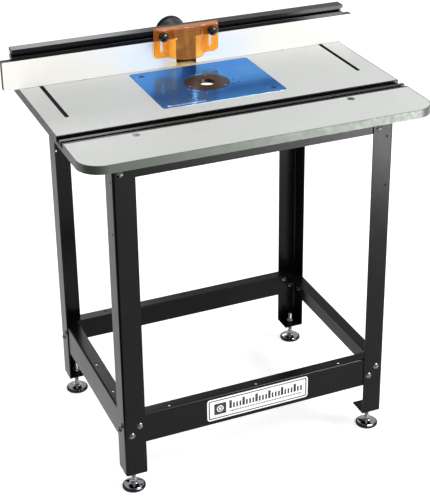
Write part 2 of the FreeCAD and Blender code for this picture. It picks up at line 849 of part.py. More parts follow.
def guard_t_bolts():
    """Two T-bolts whose heads run in the rail's slot, with a washer under each knob."""
    head_y = fence_y + 1.0 + rail_lip + 0.4
    tip_y = hood_front_y + 2
    bolts = []
    for side in (-1, 1):
        x = side * guard_bolt_x
        head = box(x - 9, x + 9, head_y, head_y + 4, rail_slot_z - 7, rail_slot_z + 7)
        shank = cylinder(3.175, head_y - tip_y, x, tip_y, rail_slot_z, Y_AXIS)
        washer = cylinder(8.0, 1.4, x, guard_back_y - guard_thickness - 1.7, rail_slot_z, Y_AXIS)
        bolts.append(union([head, shank, washer]))
    return group(bolts)


def guard_knob(side):
    """A domed push-on knob with a waist behind it, turned about Y."""
    start = guard_back_y - guard_thickness - 2.0
    toward_user = Vector(0, -1, 0)
    waist = cone(7.0, 8.5, 6, side * guard_bolt_x, start, rail_slot_z, toward_user)
    grip = cone(11.6, 10.4, 12, side * guard_bolt_x, start - 6, rail_slot_z, toward_user)
    crown = dome(10.4, 5.6, Vector(side * guard_bolt_x, start - 18, rail_slot_z), toward_user)
    bore = cylinder(3.175 + running_gap, 17, side * guard_bolt_x, start, rail_slot_z, toward_user)
    return cut(union([waist, grip, crown]), [bore])


def bulge(half_width, front_y, z, back_y):
    """A closed wire at height z: a straight back and an arc that bulges toward the user."""
    left, right = Vector(-half_width, back_y, z), Vector(half_width, back_y, z)
    arc = Part.Arc(left, Vector(0, front_y, z), right).toShape()
    return Part.Wire([arc, Part.LineSegment(right, left).toShape()])


def bit_guard():
    """One moulding: slotted ears, a bulging visor between them and a flat hood above."""
    front = guard_back_y - guard_thickness
    plate = box(-guard_half_width, guard_half_width, front, guard_back_y, guard_bottom, guard_top)
    plate = round_edges(plate, 10.0, lambda e: is_along(e, Y_AXIS) and e.CenterOfMass.z < guard_bottom + 1)
    hood = box(-hood_half_width, hood_half_width, hood_front_y, guard_back_y,
               guard_top - guard_thickness, guard_top)
    hood = round_edges(hood, 6.0, lambda e: is_along(e, Z_AXIS) and e.CenterOfMass.y < hood_front_y + 1)
    top_z = guard_top - guard_thickness
    outer = Part.makeLoft([bulge(visor_half_width, visor_front_y, guard_bottom, guard_back_y),
                           bulge(visor_half_width, hood_front_y, top_z, guard_back_y)], True, True)
    inner_half = visor_half_width - guard_thickness
    inner = Part.makeLoft([
        bulge(inner_half, visor_front_y + guard_thickness, guard_bottom - 1, guard_back_y + 1),
        bulge(inner_half, hood_front_y + guard_thickness, top_z, guard_back_y + 1)], True, True)
    slots = [slot_z(side * guard_bolt_x, front - 1, guard_back_y + 1, rail_slot_z - guard_travel - 1,
                    rail_slot_z + 1, guard_slot_width) for side in (-1, 1)]
    return cut(union([plate, hood, outer]), [inner] + slots)


# ------------------------------------------------------------------- export

def build_nodes():
    nodes = {
        "table_core": table_core(),
        "top_laminate": top_laminate(),
        "underside_laminate": underside_laminate(),
        "edge_band": edge_band(),
        "combo_track": combo_track(),
        "track_screws": track_screws(),
        "router_plate": router_plate(),
        "insert_ring": insert_ring(),
        "insert_ring_screws": insert_ring_screws(),
        "plate_screws": plate_screws(),
        "plate_levelers": plate_levelers(),
        "top_screws": top_screws(),
        "top_screw_nuts": top_screw_nuts(),
        "frame_bolts": frame_bolts(),
        "frame_nuts": frame_nuts(),
        "badge_plate": badge_plate(),
        "foot_lock_nuts": foot_lock_nuts(),
        "fence_rail": fence_rail(),
        "dust_port": dust_port(),
        "dust_port_screws": dust_port_screws(),
        "fence_clamp_bolts": fence_clamp_bolts(),
        "fence_clamp_washers": fence_clamp_washers(),
        "guard_t_bolts": guard_t_bolts(),
        "bit_guard": bit_guard(),
    }
    for end_name, end in ENDS.items():
        nodes[f"top_rail_{end_name}"] = top_rail(end_name)
        nodes[f"stretcher_{end_name}"] = stretcher(end_name)
        nodes[f"top_cleat_{end_name}"] = top_cleat(end)
        for side_name, side in SIDES.items():
            corner = f"{end_name}_{side_name}"
            nodes[f"leg_{corner}"] = leg(side, end)
            nodes[f"foot_pad_{corner}"] = foot_pad(side, end)
            nodes[f"foot_stem_{corner}"] = foot_stem(side, end)
    for side_name, side in SIDES.items():
        nodes[f"top_rail_{side_name}"] = top_rail(side_name)
        nodes[f"stretcher_{side_name}"] = stretcher(side_name)
        nodes[f"fence_face_{side_name}"] = fence_face(side)
        nodes[f"face_laminate_{side_name}"] = face_laminate(side)
        nodes[f"clamp_knob_{side_name}"] = clamp_knob(side)
        nodes[f"guard_knob_{side_name}"] = guard_knob(side)
        for place, stud in zip(("inner", "outer"), face_stud_x):
            nodes[f"face_knob_{side_name}_{place}"] = face_knob(side, stud)
    return nodes


os.makedirs("parts", exist_ok=True)
for node_name, shape in build_nodes().items():
    shape.exportStep(f"parts/{node_name}.step")
    print(node_name, len(shape.Solids), "solids", round(shape.Volume / 1000, 2), "cm3",
          "valid" if shape.isValid() else "INVALID")
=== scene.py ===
import math

import bmesh
import bpy
from mathutils import Matrix, Vector


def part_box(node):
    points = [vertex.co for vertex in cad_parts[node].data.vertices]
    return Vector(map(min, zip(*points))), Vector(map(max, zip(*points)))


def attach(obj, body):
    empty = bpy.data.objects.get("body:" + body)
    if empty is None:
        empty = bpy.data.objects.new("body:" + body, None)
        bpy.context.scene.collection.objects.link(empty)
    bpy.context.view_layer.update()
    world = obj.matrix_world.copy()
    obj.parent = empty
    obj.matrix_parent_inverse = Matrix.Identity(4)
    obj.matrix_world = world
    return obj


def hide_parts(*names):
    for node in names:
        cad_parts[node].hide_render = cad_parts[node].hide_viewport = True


# A router table: a laminated top on a bolted steel stand, with a sliding fence.
# Metres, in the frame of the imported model: +X right, +Y back, +Z up.

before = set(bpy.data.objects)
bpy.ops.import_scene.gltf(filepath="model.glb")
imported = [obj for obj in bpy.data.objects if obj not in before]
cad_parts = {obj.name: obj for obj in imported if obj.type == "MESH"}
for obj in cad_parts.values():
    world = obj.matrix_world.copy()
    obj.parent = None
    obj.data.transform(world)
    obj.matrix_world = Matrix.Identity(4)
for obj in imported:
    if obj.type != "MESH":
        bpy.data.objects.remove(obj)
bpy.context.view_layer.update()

MM = 0.001
SIDES = ("left", "right")
ENDS = ("front", "back")


# ------------------------------------------------------------------ materials

def shade(red, green, blue):
    """A display colour, 0 to 255 a channel, as the linear colour that shaders use."""
    def linear(value):
        value = value / 255
        return value / 12.92 if value <= 0.04045 else ((value + 0.055) / 1.055) ** 2.4
    return linear(red), linear(green), linear(blue), 1.0


class Finish:
    """One material, built on its own Principled shader."""

    def __init__(self, name, **inputs):
        self.material = bpy.data.materials.new(name)
        self.material.use_nodes = True
        self.tree = self.material.node_tree
        self.shader = self.tree.nodes["Principled BSDF"]
        self.place = self.add("ShaderNodeTexCoord").outputs["Object"]
        for key, value in inputs.items():
            self.feed(self.shader.inputs[key.replace("_", " ")], value)

    def add(self, kind, inputs=None, **settings):
        node = self.tree.nodes.new(kind)
        for key, value in settings.items():
            setattr(node, key, value)
        for key, value in (inputs or {}).items():
            self.feed(node.inputs[key], value)
        return node

    def feed(self, socket, value):
        if isinstance(value, bpy.types.NodeSocket):
            self.tree.links.new(value, socket)
        else:
            socket.default_value = value

    def stretched(self, x=1.0, y=1.0, z=1.0, origin=(0.0, 0.0, 0.0)):
        """Places on the object, scaled along each axis about an origin."""
        moved = [-a * s for a, s in zip(origin, (x, y, z))]
        node = self.add("ShaderNodeMapping", {
            "Vector": self.place, "Location": moved, "Scale": (x, y, z)})
        return node.outputs["Vector"]

    def noise(self, scale, detail=2.0, roughness=0.5, place=None):
        node = self.add("ShaderNodeTexNoise", {
            "Vector": place or self.place, "Scale": scale, "Detail": detail, "Roughness": roughness})
        return node.outputs["Fac"]

    def ramp(self, factor, stops):
        """A colour, or a grey number, that follows a factor through (place, value) stops."""
        node = self.add("ShaderNodeValToRGB", {"Fac": factor})
        points = node.color_ramp.elements
        while len(points) < len(stops):
            points.new(0.5)
        for point, (where, value) in zip(points, stops):
            point.position = where
            point.color = value if isinstance(value, tuple) else (value, value, value, 1.0)
        return node.outputs["Color"]

    def mix(self, factor, first, second):
        """Blends two colours. This node's sockets share their names, so they go by number."""
        factor_socket, first_socket, second_socket, colour_result = 0, 6, 7, 2
        node = self.add("ShaderNodeMix", data_type="RGBA")
        self.feed(node.inputs[factor_socket], factor)
        self.feed(node.inputs[first_socket], first)
        self.feed(node.inputs[second_socket], second)
        return node.outputs[colour_result]

    def maths(self, operation, first, second=0.0):
        node = self.add("ShaderNodeMath", operation=operation)
        self.feed(node.inputs[0], first)
        self.feed(node.inputs[1], second)
        return node.outputs[0]

    def colour(self, value):
        self.feed(self.shader.inputs["Base Color"], value)

    def rough(self, value):
        self.feed(self.shader.inputs["Roughness"], value)

    def bump(self, *heights):
        """Relief from (height, depth in metres) pairs, one on top of the other."""
        normal = None
        for height, depth in heights:
            node = self.add("ShaderNodeBump", {"Height": height, "Distance": depth, "Strength": 1.0})
            if normal:
                self.feed(node.inputs["Normal"], normal)
            normal = node.outputs["Normal"]
        self.feed(self.shader.inputs["Normal"], normal)


def laminate(name, light, dark, scuff):
    """Melamine sheet: a fine speckle, a faint cloudiness and a pebbled skin."""
    finish = Finish(name)
    speckle = finish.noise(1500.0, 3.0)
    cloud = finish.noise(9.0, 3.0)
    base = finish.mix(finish.ramp(speckle, [(0.35, 0.0), (0.65, 1.0)]), dark, light)
    cloudy = finish.mix(finish.ramp(cloud, [(0.3, 0.0), (0.7, 0.5)]), base, dark)
    streaks = finish.noise(1.0, 4.0, 0.6, finish.stretched(5.0, 420.0, 420.0))
    worn = finish.ramp(streaks, [(0.58, 0.0), (0.72, 0.45)])
    finish.colour(finish.mix(worn, cloudy, scuff))
    finish.rough(finish.ramp(finish.noise(60.0, 4.0), [(0.3, 0.34), (0.7, 0.46)]))
    finish.bump((finish.noise(2600.0, 1.0), 0.012 * MM), (speckle, 0.006 * MM))
    return finish.material


def edge_strip():
    """The plastic strip round the top, with lengthwise trimming marks."""
    finish = Finish("edge_strip_plastic", Specular_IOR_Level=0.8, Specular_Tint=(0.92, 1.0, 0.91, 1.0))
    lines = finish.noise(1.0, 4.0, 0.6, finish.stretched(12.0, 12.0, 1500.0))
    finish.colour(finish.ramp(lines, [(0.3, shade(28, 33, 27)), (0.7, shade(40, 45, 38))]))
    finish.rough(finish.ramp(finish.noise(90.0, 3.0), [(0.3, 0.30), (0.7, 0.42)]))
    finish.bump((lines, 0.03 * MM))
    return finish.material


def fibreboard(name, light, dark, roughness, darkened=None):
    """Pressed fibre: short flecks in two sizes. The optional mask marks where the fibre is drawn near
    black, a painted shade in narrow openings.
    """
    finish = Finish(name)
    fleck = finish.noise(900.0, 4.0, 0.7, finish.stretched(0.35, 0.35, 1.0))
    patch = finish.noise(55.0, 3.0)
    base = finish.ramp(fleck, [(0.32, dark), (0.68, light)])
    patched = finish.mix(finish.ramp(patch, [(0.35, 0.0), (0.7, 0.4)]), base, dark)
    if darkened:
        # Painted shade: the masked walls turn near black, as in the shadowed gap round the plate.
        near_black = finish.ramp(fleck, [(0.3, shade(6, 6, 6)), (0.7, shade(16, 16, 16))])
        patched = finish.mix(darkened(finish), patched, near_black)
    finish.colour(patched)
    finish.rough(roughness)
    finish.bump((fleck, 0.08 * MM), (patch, 0.05 * MM))
    return finish.material


def darkened_openings(finish):
    """1 on the walls of the two fence slots and of the rebate round the router plate, which are drawn near
    black: painted shade in the narrow gap round the plate, and darkened walls in the slots.

    The fence's clamp knobs stand over the slots, so they say where the slots are.
    """
    slot_reach, rebate_margin = 5.5 * MM, 1 * MM
    low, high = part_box("clamp_knob_right")
    slot_x = (low.x + high.x) / 2
    low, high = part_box("router_plate")
    place = finish.add("ShaderNodeSeparateXYZ", {"Vector": finish.place}).outputs

    def near(value, centre, reach):
        off = finish.maths("ABSOLUTE", finish.maths("SUBTRACT", value, centre))
        return finish.maths("LESS_THAN", off, reach)

    in_slot = near(finish.maths("ABSOLUTE", place["X"]), slot_x, slot_reach)
    in_width = near(place["X"], (low.x + high.x) / 2, (high.x - low.x) / 2 + rebate_margin)
    in_depth = near(place["Y"], (low.y + high.y) / 2, (high.y - low.y) / 2 + rebate_margin)
    return finish.maths("MAXIMUM", in_slot, finish.maths("MULTIPLY", in_width, in_depth))


def anodised(name, light, dark, smoothest, roughest, shine):
    """Extruded aluminium under a black dyed skin: fine lines along the bar."""
    finish = Finish(name, Specular_IOR_Level=shine)
    lines = finish.noise(1.0, 5.0, 0.65, finish.stretched(6.0, 1100.0, 1100.0))
    smudge = finish.noise(14.0, 4.0, 0.6)
    base = finish.ramp(lines, [(0.3, dark), (0.7, light)])
    finish.colour(finish.mix(finish.ramp(smudge, [(0.4, 0.0), (0.75, 0.35)]), base, dark))
    rubbed = finish.maths("ADD", finish.maths("MULTIPLY", lines, roughest - smoothest), smoothest)
    finish.rough(finish.maths("ADD", rubbed, finish.maths("MULTIPLY", smudge, 0.05)))
    finish.bump((lines, 0.008 * MM))
    return finish.material


def dyed_plate():
    """Blue dyed aluminium: the dye glows blue under a bright, bluish mirror of fine brushing."""
    finish = Finish("blue_anodised_plate", IOR=3.0, Specular_IOR_Level=1.0)
    brushing = finish.noise(1.0, 5.0, 0.65, finish.stretched(6.0, 1400.0, 1400.0))
    smudge = finish.noise(16.0, 4.0, 0.6)
    dark_dye, light_dye = (0.015, 0.070, 0.28, 1.0), (0.022, 0.090, 0.34, 1.0)
    dark_mirror, light_mirror = (0.15, 0.43, 0.86, 1.0), (0.20, 0.50, 0.94, 1.0)
    finish.colour(finish.ramp(brushing, [(0.3, dark_dye), (0.7, light_dye)]))
    finish.feed(finish.shader.inputs["Specular Tint"],
                finish.ramp(smudge, [(0.3, dark_mirror), (0.75, light_mirror)]))
    finish.rough(finish.maths("ADD", finish.maths("MULTIPLY", smudge, 0.08), 0.14))
    finish.bump((brushing, 0.004 * MM))
    return finish.material


def powder_coat():
    """Baked black paint on sheet steel, with orange peel and a little dust in its low spots."""
    finish = Finish("black_powder_coat", Specular_IOR_Level=0.13)
    peel = finish.noise(420.0, 2.0)
    dust = finish.noise(26.0, 5.0, 0.6)
    finish.colour(finish.ramp(dust, [(0.35, shade(6, 6, 6)), (0.75, shade(12, 11, 10))]))
    finish.rough(finish.ramp(dust, [(0.3, 0.23), (0.7, 0.27)]))
    finish.bump((peel, 0.03 * MM), (finish.noise(1800.0, 2.0), 0.004 * MM))
    return finish.material


def bolt_black():
    """Polished black oxide on the bolt heads."""
    finish = Finish("black_oxide", Metallic=1.0)
    wear = finish.noise(350.0, 4.0, 0.6)
    finish.colour(finish.ramp(wear, [(0.4, shade(92, 92, 94)), (0.8, shade(120, 119, 118))]))
    finish.rough(finish.ramp(wear, [(0.3, 0.12), (0.7, 0.24)]))
    finish.bump((wear, 0.01 * MM))
    return finish.material


def phenolic():
    """Turned brown phenolic: rings left by the lathe round the bit opening."""
    finish = Finish("turned_phenolic", Specular_IOR_Level=0.2)
    low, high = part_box("insert_ring")
    centre = (low + high) / 2
    at_centre = finish.stretched(origin=centre)
    rings = finish.add("ShaderNodeTexWave", {
        "Vector": at_centre, "Scale": 330.0, "Distortion": 0.6, "Detail": 2.0},
        wave_type="RINGS", rings_direction="Z").outputs["Fac"]
    weave = finish.noise(700.0, 4.0, 0.7)
    base = finish.ramp(weave, [(0.3, shade(20, 12, 8)), (0.7, shade(40, 25, 17))])
    finish.colour(finish.mix(finish.maths("MULTIPLY", rings, 0.35), base, shade(48, 31, 22)))
    finish.rough(finish.ramp(rings, [(0.0, 0.24), (1.0, 0.36)]))
    finish.bump((rings, 0.015 * MM), (weave, 0.006 * MM))
    return finish.material


def steel(name, light, dark, smoothest, roughest, grain=500.0):
    """Plated steel: cloudy plating with fine wear."""
    finish = Finish(name, Metallic=1.0)
    plating = finish.noise(grain, 4.0, 0.6)
    cloud = finish.noise(40.0, 3.0)
    base = finish.ramp(plating, [(0.35, dark), (0.65, light)])
    finish.colour(finish.mix(finish.maths("MULTIPLY", cloud, 0.3), base, dark))
    finish.rough(finish.ramp(cloud, [(0.3, smoothest), (0.7, roughest)]))
    finish.bump((plating, 0.005 * MM))
    return finish.material


def moulded(name, light, dark, smoothest, roughest, texture=900.0, depth=0.01 * MM, shine=0.5):
    """A moulded or painted part with a spark-eroded skin, its depth in metres."""
    finish = Finish(name, Specular_IOR_Level=shine)
    skin = finish.noise(texture, 3.0)
    flow = finish.noise(30.0, 4.0, 0.6)
    finish.colour(finish.ramp(flow, [(0.3, dark), (0.75, light)]))
    finish.rough(finish.ramp(flow, [(0.3, smoothest), (0.7, roughest)]))
    finish.bump((skin, depth))
    return finish.material


def amber():
    """Clear orange polycarbonate, deeper where it is thicker, with flow marks and rubbed patches, and a
    faint painted orange glow.
    """
    # Painted light: the faint emission makes the guard glow, brightening it and the fence seen through it.
    finish = Finish("amber_polycarbonate", Transmission_Weight=0.97, IOR=1.40, Specular_IOR_Level=0.2,
                    Emission_Color=(1.0, 0.26, 0.004, 1.0), Emission_Strength=0.10)
    flow = finish.noise(18.0, 3.0)
    scratches = finish.noise(1.0, 4.0, 0.6, finish.stretched(30.0, 900.0, 900.0))
    deep, pale, depth_tint = (1.0, 0.78, 0.36, 1.0), (1.0, 0.86, 0.46, 1.0), (0.94, 0.80, 0.0, 1.0)
    finish.colour(finish.ramp(flow, [(0.3, deep), (0.7, pale)]))
    tint = finish.add("ShaderNodeVolumeAbsorption", {"Color": depth_tint, "Density": 420.0})
    finish.feed(finish.tree.nodes["Material Output"].inputs["Volume"], tint.outputs["Volume"])
    finish.rough(finish.ramp(scratches, [(0.45, 0.03), (0.75, 0.14)]))
    finish.bump((flow, 0.05 * MM), (scratches, 0.003 * MM))
    return finish.material


GREY_LAMINATE = laminate(
    "grey_melamine", light=shade(208, 210, 208), dark=shade(196, 198, 196), scuff=shade(186, 188, 187))
WHITE_LAMINATE = laminate(
    "white_melamine", light=shade(241, 239, 234), dark=shade(233, 231, 226), scuff=shade(224, 222, 217))
BOARD_CORE = fibreboard(
    "raw_fibreboard", light=shade(188, 160, 122), dark=shade(142, 114, 80), roughness=0.85,
    darkened=darkened_openings)
FACE_BOARD = fibreboard(
    "black_fibreboard", light=shade(44, 43, 42), dark=shade(20, 20, 20), roughness=0.55)
EDGE_STRIP = edge_strip()
BLACK_ANODISED = anodised(
    "black_anodised_bar", light=shade(14, 14, 15), dark=shade(5, 5, 6),
    smoothest=0.18, roughest=0.28, shine=0.21)
BLUE_ANODISED = dyed_plate()
BROWN_PHENOLIC = phenolic()
ZINC_STEEL = steel(
    "zinc_plated_steel", light=shade(176, 178, 180), dark=shade(128, 130, 134),
    smoothest=0.24, roughest=0.40)
CHROME_STEEL = steel(
    "chrome_plated_steel", light=shade(180, 181, 184), dark=shade(140, 142, 146),
    smoothest=0.05, roughest=0.12, grain=900.0)
# Painted reflection: a darkened chrome for the rims of the feet, standing in for the dark surroundings
# they mirror.
PAINTED_REFLECTION_RIM_STEEL = steel(
    "rim_steel_painted_dark_reflection", light=shade(64, 65, 68), dark=shade(34, 35, 38),
    smoothest=0.04, roughest=0.10, grain=900.0)
BLACK_BOLT = bolt_black()
BLACK_STEEL = powder_coat()
AMBER = amber()
PORT_PLASTIC = moulded(
    "port_moulding", light=shade(14, 14, 15), dark=shade(7, 7, 8),
    smoothest=0.32, roughest=0.46, texture=1400.0, depth=0.03 * MM, shine=0.2)
SCREW_BLUE = moulded(
    "blue_black_screw", light=shade(14, 34, 110), dark=shade(7, 18, 66),
    smoothest=0.25, roughest=0.4, shine=0.12)
KNOB_PLASTIC = moulded(
    "knob_moulding", light=shade(16, 16, 17), dark=shade(7, 7, 8),
    smoothest=0.08, roughest=0.14, shine=0.35)
SOLE_PLASTIC = moulded(
    "sole_moulding", light=shade(226, 226, 222), dark=shade(206, 206, 200),
    smoothest=0.35, roughest=0.5)
BADGE_WHITE = moulded(
    "badge_white", light=shade(244, 244, 241), dark=shade(236, 236, 233),
    smoothest=0.24, roughest=0.36, texture=1200.0, depth=0.005 * MM)
BADGE_BLACK = moulded(
    "badge_black", light=shade(26, 26, 26), dark=shade(15, 15, 15),
    smoothest=0.24, roughest=0.36, texture=1200.0, depth=0.005 * MM)


# ----------------------------------------------------------- carried CAD nodes

def nodes_named(*starts):
    return [name for name in sorted(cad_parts) if name.startswith(starts)]


def dress(material, *starts):
    """Gives a material to every CAD node whose name starts with one of these."""
    for name in nodes_named(*starts):
        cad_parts[name].data.materials[0] = material


def ease(width, *starts):
    """Breaks the sharp edges of these CAD nodes by a small round.

    The triangles of each flat face are joined first, so that the round follows true edges only.
    """
    same_point, same_plane, true_edge = 0.001 * MM, math.radians(0.5), math.radians(40)
    for name in nodes_named(*starts):
        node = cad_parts[name]
        node.modifiers.new("join", "WELD").merge_threshold = same_point
        flat = node.modifiers.new("flatten", "DECIMATE")
        flat.decimate_type = "DISSOLVE"
        flat.angle_limit = same_plane
        rounding = node.modifiers.new("round", "BEVEL")
        rounding.width = width
        rounding.segments = 2
        rounding.limit_method = "ANGLE"
        rounding.angle_limit = true_edge
        rounding.use_clamp_overlap = False
        node.modifiers.new("normals", "WEIGHTED_NORMAL")


def dress_cad():
    dress(BOARD_CORE, "table_core")
    dress(FACE_BOARD, "fence_face_")
    dress(GREY_LAMINATE, "top_laminate", "underside_laminate")
    dress(WHITE_LAMINATE, "face_laminate_")
    dress(EDGE_STRIP, "edge_band")
    dress(BLACK_ANODISED, "combo_track", "fence_rail")
    dress(BLUE_ANODISED, "router_plate")
    dress(BROWN_PHENOLIC, "insert_ring")
    dress(ZINC_STEEL, "track_screws", "insert_ring_screws", "plate_levelers", "top_screw_nuts")
    dress(SCREW_BLUE, "plate_screws")
    dress(ZINC_STEEL, "fence_clamp_bolts", "fence_clamp_washers", "guard_t_bolts", "frame_nuts")
    dress(BLACK_BOLT, "top_screws", "frame_bolts", "dust_port_screws")
    dress(BLACK_STEEL, "leg_", "top_rail_", "stretcher_", "top_cleat_")
    dress(PORT_PLASTIC, "dust_port")
    dress(AMBER, "bit_guard")


def ease_cad():
    """Breaks the edges of the nodes whose edges catch the light."""
    ease(0.5 * MM, "leg_", "top_rail_", "stretcher_", "fence_rail")
    ease(0.3 * MM, "combo_track", "insert_ring", "fence_face_", "face_laminate_")
    ease(0.6 * MM, "router_plate", "bit_guard", "dust_port")


# ----------------------------------------------------- pieces with more detail

def facing(point, direction):
    """A place at a point for a shape drawn about +Z, turned to point along a direction."""
    return Matrix.Translation(point) @ Vector(direction).to_track_quat("Z", "Y").to_matrix().to_4x4()


def rounded(corners, radius, steps=4):
    """The same open line of (across, up) corners, with each inner corner eased by about a radius."""
    path = [Vector(corners[0])]
    for before, corner, after in zip(corners, corners[1:], corners[2:]):
        corner = Vector(corner)
        back, ahead = Vector(before) - corner, Vector(after) - corner
        start = corner + back.normalized() * min(radius, 0.45 * back.length)
        end = corner + ahead.normalized() * min(radius, 0.45 * ahead.length)
        for step in range(steps + 1):
            share = step / steps
            path.append(start.lerp(corner, share).lerp(corner.lerp(end, share), share))
    path.append(Vector(corners[-1]))
    return path


# The next four each return a function for Shape.turn. It takes the angle, radius and height
# of a point on a turned shape, and gives that point's new radius.

def star(lobes, hub_radius, valley_depth):
    """Pinches a turned shape outside its hub into the lobes of a star knob."""
    flare, lobe_width = 2.5, 1.5

    def reshape(angle, radius, height):
        outside = min(1.0, max(0.0, flare * (radius / hub_radius - 1.0)))
        valley = (1 - abs(math.cos(lobes * angle / 2))) ** lobe_width
        return radius * (1 - valley_depth * outside * valley)
    return reshape


def fluted(flutes, from_radius, depth):
    """Presses shallow grip flutes into the widest part of a turned shape."""
    def reshape(angle, radius, height):
        wave = 0.5 - 0.5 * math.cos(flutes * angle)
        return radius - depth * wave if radius > from_radius else radius
    return reshape


def hexagonal(across_flats):
    """Cuts six flats on a turned shape, so that its chamfers round off the corners."""
    def reshape(angle, radius, height):
        off_flat = (angle + math.pi / 6) % (math.pi / 3) - math.pi / 6
        return min(radius, across_flats / 2 / math.cos(off_flat))
    return reshape


def threaded(pitch, depth):
    """Cuts a V thread into a turned rod."""
    def reshape(angle, radius, height):
        turn = (height / pitch - angle / (2 * math.pi)) % 1.0
        return radius - depth * abs(2 * turn - 1)
    return reshape


class Shape:
    """A mesh put together from lofted sections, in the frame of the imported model."""

    crisp_edge = math.radians(36)

    def __init__(self, *materials):
        self.mesh = bmesh.new()
        self.materials = materials

    def loft(self, rings, place, bands=0):
        """Skins closed rings of points one after another and caps both ends.

        bands is one material number, or one for each strip between two rings.
        """
        rows = [[self.mesh.verts.new(place @ Vector(point)) for point in ring] for ring in rings]
        numbers = bands if isinstance(bands, list) else [bands] * (len(rows) - 1)
        skin = [(self.mesh.faces.new(rows[0][::-1]), numbers[0])]
        skin.append((self.mesh.faces.new(rows[-1]), numbers[-1]))
        for number, lower, upper in zip(numbers, rows, rows[1:]):
            for i, corner in enumerate(lower):
                quad = (lower[i - 1], corner, upper[i], upper[i - 1])
                skin.append((self.mesh.faces.new(quad), number))
        for face, number in skin:
            face.material_index = number
            face.smooth = True

    def turn(self, profile, place, reshape=None, segments=48, band=0):
        """Turns a line of (radius, height) points about +Z; reshape may push each point in or out."""
        rings = []
        for radius, height in profile:
            ring = []
            for i in range(segments):
                angle = 2 * math.pi * i / segments
                reach = reshape(angle, radius, height) if reshape else radius
                ring.append((reach * math.cos(angle), reach * math.sin(angle), height))
            rings.append(ring)
        self.loft(rings, place, band)

    def bar(self, x0, x1, y0, y1, z0, z1, place, band=0):
        """A straight bar with its upper edges broken."""
        ease_off = 0.25 * (z1 - z0)
        rings = [outline_box(x0, x1, y0, y1, z0),
                 outline_box(x0, x1, y0, y1, z1 - ease_off),
                 outline_box(x0 + ease_off, x1 - ease_off, y0 + ease_off, y1 - ease_off, z1)]
        self.loft(rings, place, band)

    def piece(self, name, body, slot, *stands_for):
        """Finishes the mesh as a named piece that rides on a body in place of some CAD nodes."""
        bmesh.ops.recalc_face_normals(self.mesh, faces=self.mesh.faces)
        mesh = bpy.data.meshes.new(name)
        self.mesh.to_mesh(mesh)
        self.mesh.free()
        for material in self.materials:
            mesh.materials.append(material)
        mesh.set_sharp_from_angle(angle=self.crisp_edge)
        made = bpy.data.objects.new(name, mesh)
        bpy.context.scene.collection.objects.link(made)
        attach(made, body)
        if stands_for:
            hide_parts(*stands_for)


def outline_box(x0, x1, y0, y1, z):
    return [(x0, y0, z), (x1, y0, z), (x1, y1, z), (x0, y1, z)]


def outline_rounded(half_width, half_height, radius, z, steps=8):
    """A rounded rectangle at height z, as a ring of points."""
    ring = []
    for quarter, (sx, sy) in enumerate(((1, 1), (-1, 1), (-1, -1), (1, -1))):
        centre_x, centre_y = sx * (half_width - radius), sy * (half_height - radius)
        for step in range(steps + 1):
            angle = math.pi / 2 * (quarter + step / steps)
            ring.append((centre_x + radius * math.cos(angle), centre_y + radius * math.sin(angle), z))
    return ring


def star_knob_profile(radius, height, bore, bore_depth):
    """Bore, hub, undercut grip with a rolled shoulder, dished face and a push-in cap."""
    hub = 0.52 * radius
    inside = [(bore, bore_depth), (bore, 0.0), (hub * 0.92, 0.0), (hub, 0.06 * height)]
    grip = [(hub, 0.24 * height), (0.90 * radius, 0.30 * height), (radius, 0.38 * height),
            (radius, 0.78 * height), (0.93 * radius, 0.93 * height), (0.74 * radius, height)]
    dish = [(0.58 * radius, 0.985 * height), (0.50 * radius, 0.93 * height)]
    cap = [(0.44 * radius, 0.93 * height), (0.43 * radius, 0.97 * height),
           (0.30 * radius, 0.995 * height), (0.02 * radius, height)]
    return rounded(inside + grip + dish + cap, 0.05 * radius)


def star_knob(shape, radius, height, bore, bore_depth, place, lobes, points):
    """Adds a star knob that stands on its place, with a blind bore from below."""
    hub_radius, valley_depth = 0.6 * radius, 0.2
    profile = star_knob_profile(radius, height, bore, bore_depth)
    shape.turn(profile, place, star(lobes, hub_radius, valley_depth), points)


def clamp_knobs():
    """The star knobs that clamp the fence down at the two slots in the top."""
    bore, bore_depth, lobes, points = 4.05 * MM, 18 * MM, 6, 96
    for side in SIDES:
        node = f"clamp_knob_{side}"
        low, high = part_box(node)
        radius, height = (high.x - low.x) / 2, high.z - low.z
        centre = (low + high) / 2
        place = Matrix.Translation((centre.x, centre.y, low.z))
        shape = Shape(KNOB_PLASTIC)
        star_knob(shape, radius, height, bore, bore_depth, place, lobes, points)
        shape.piece(f"star_{node}", node, "knob_plastic", node)


def face_knobs():
    """Smaller star knobs behind the fence, each with its steel stud in the face board."""
    radius, height, lobes, points = 15.5 * MM, 22 * MM, 5, 90
    stud_radius, stud_hold, stud_points = 3 * MM, 12 * MM, 20
    thread_pitch, thread_depth, thread_start = 1.0 * MM, 0.5 * MM, 0.8 * MM
    to_back, steel_band = (0, 1, 0), 1
    for node in nodes_named("face_knob_"):
        low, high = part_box(node)
        centre_x, centre_z = high.x - radius, (low.z + high.z) / 2
        start = high.y - height
        shape = Shape(KNOB_PLASTIC, ZINC_STEEL)
        grip_place = facing((centre_x, start, centre_z), to_back)
        star_knob(shape, radius, height, stud_radius, stud_hold, grip_place, lobes, points)
        stud_length = start + stud_hold - low.y
        stud = [(stud_radius * 0.8, 0.0)]
        stud += ridges(stud_radius, thread_start, stud_length)
        stud_place = facing((centre_x, low.y, centre_z), to_back)
        shape.turn(stud, stud_place, threaded(thread_pitch, thread_depth), stud_points, steel_band)
        shape.piece(f"star_{node}", node, "knob_plastic", node)


def ridges(radius, start, end, step=0.25 * MM):
    """Close stations up a rod, near enough to each other to carry a thread."""
    count = round((end - start) / step)
    return [(radius, start + (end - start) * i / count) for i in range(count + 1)]


